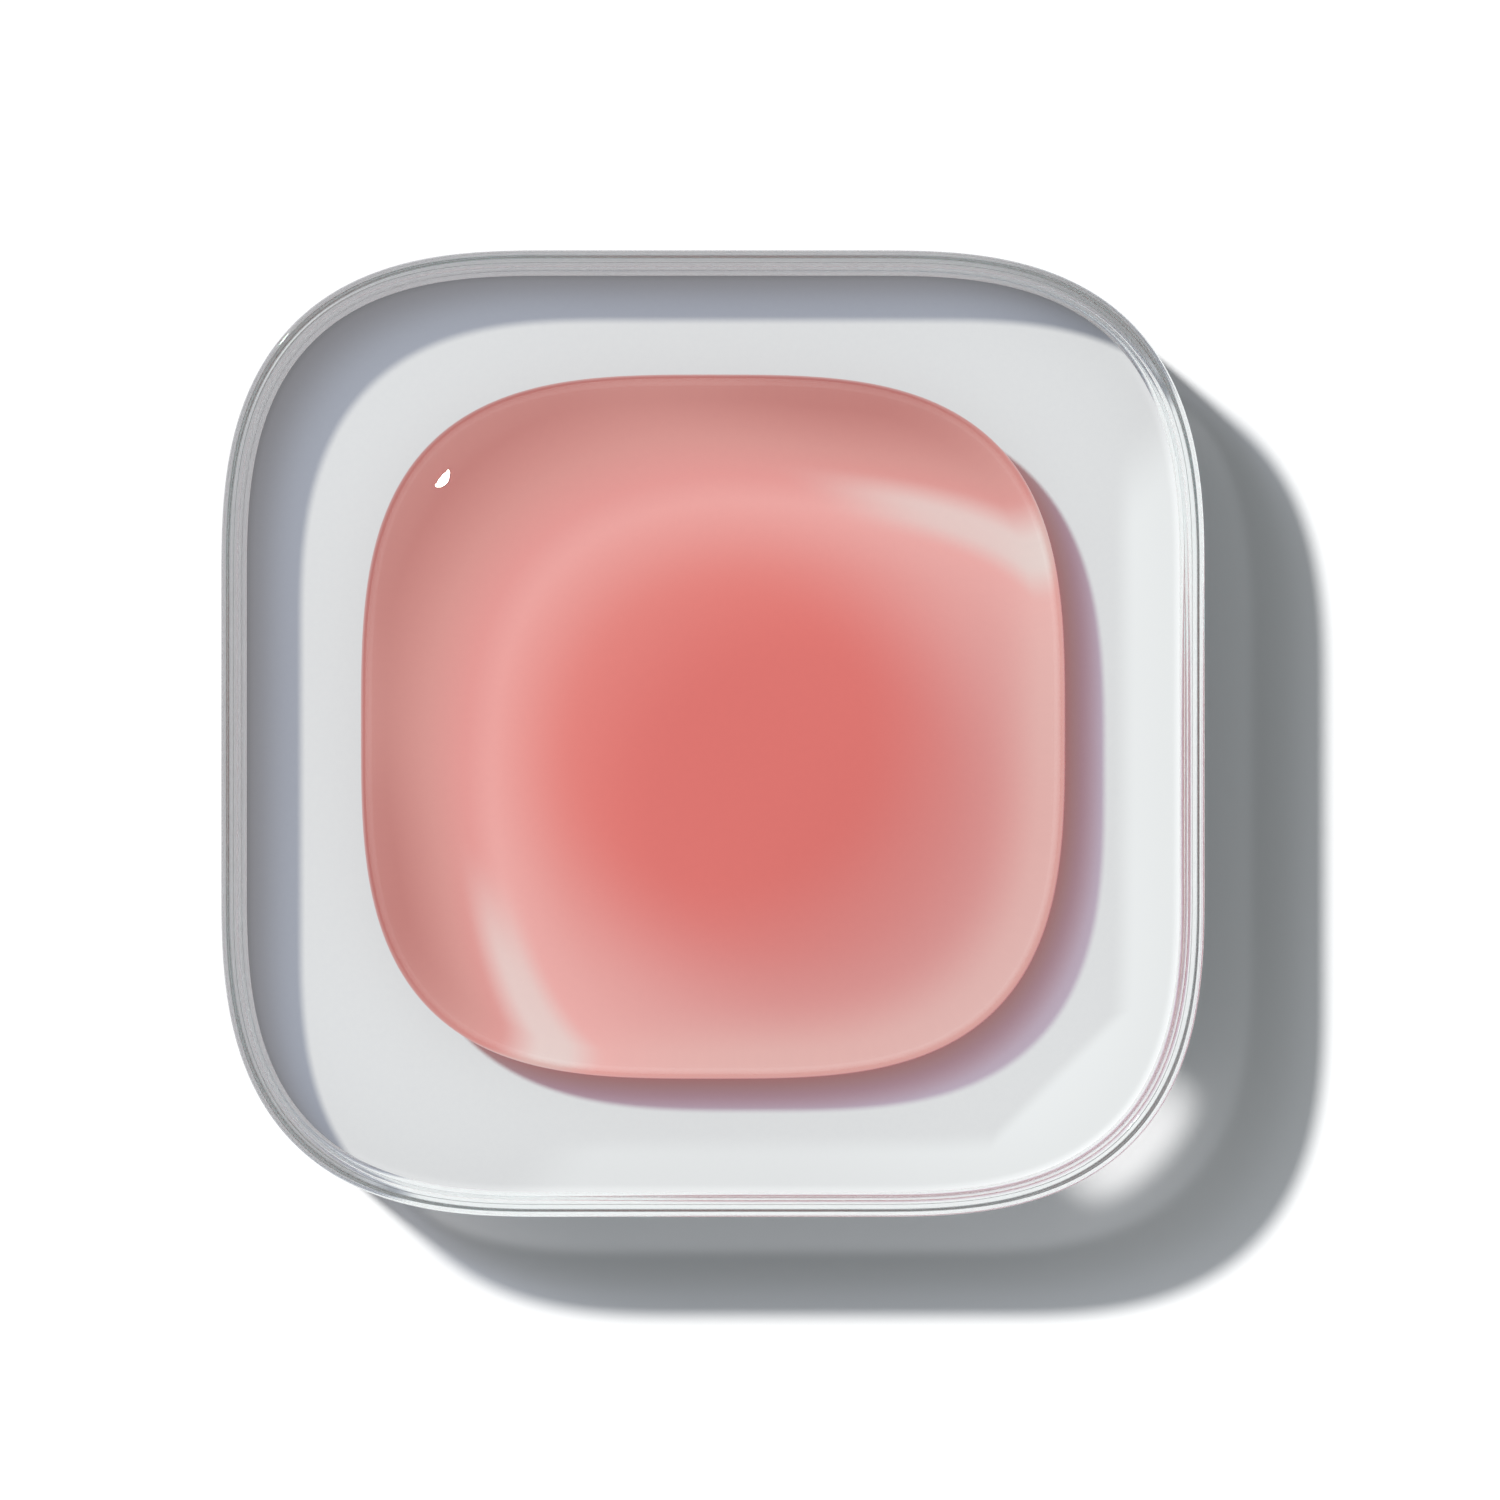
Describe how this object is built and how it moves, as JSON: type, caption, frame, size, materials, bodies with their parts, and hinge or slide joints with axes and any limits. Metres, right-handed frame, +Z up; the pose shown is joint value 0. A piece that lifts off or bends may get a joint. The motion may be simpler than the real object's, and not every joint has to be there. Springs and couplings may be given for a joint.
{
  "type": "dappen dish",
  "caption": "Shallow clear soft-square dappen dish with a thick base and a thin upright wall, holding a lift-out domed portion of pink gel.",
  "frame": {"origin": "centre of the flat face that the dish stands on", "axes": "+Z up out of the dish, +X along its slightly longer side, +Y towards its back"},
  "size_m": [0.064, 0.0628, 0.0188],
  "materials": {
    "clear_glass": "polished",
    "pink_gel": "gloss"
  },
  "bodies": {
    "dish": {"clear_dish": "clear_glass"},
    "gel": {"gel_dome": "pink_gel"}
  },
  "joints": [
    {"name": "gel_lift", "type": "slide", "parent": "dish", "child": "gel", "axis": [0, 0, 1], "range_m": [0, 0.018]}
  ]
}
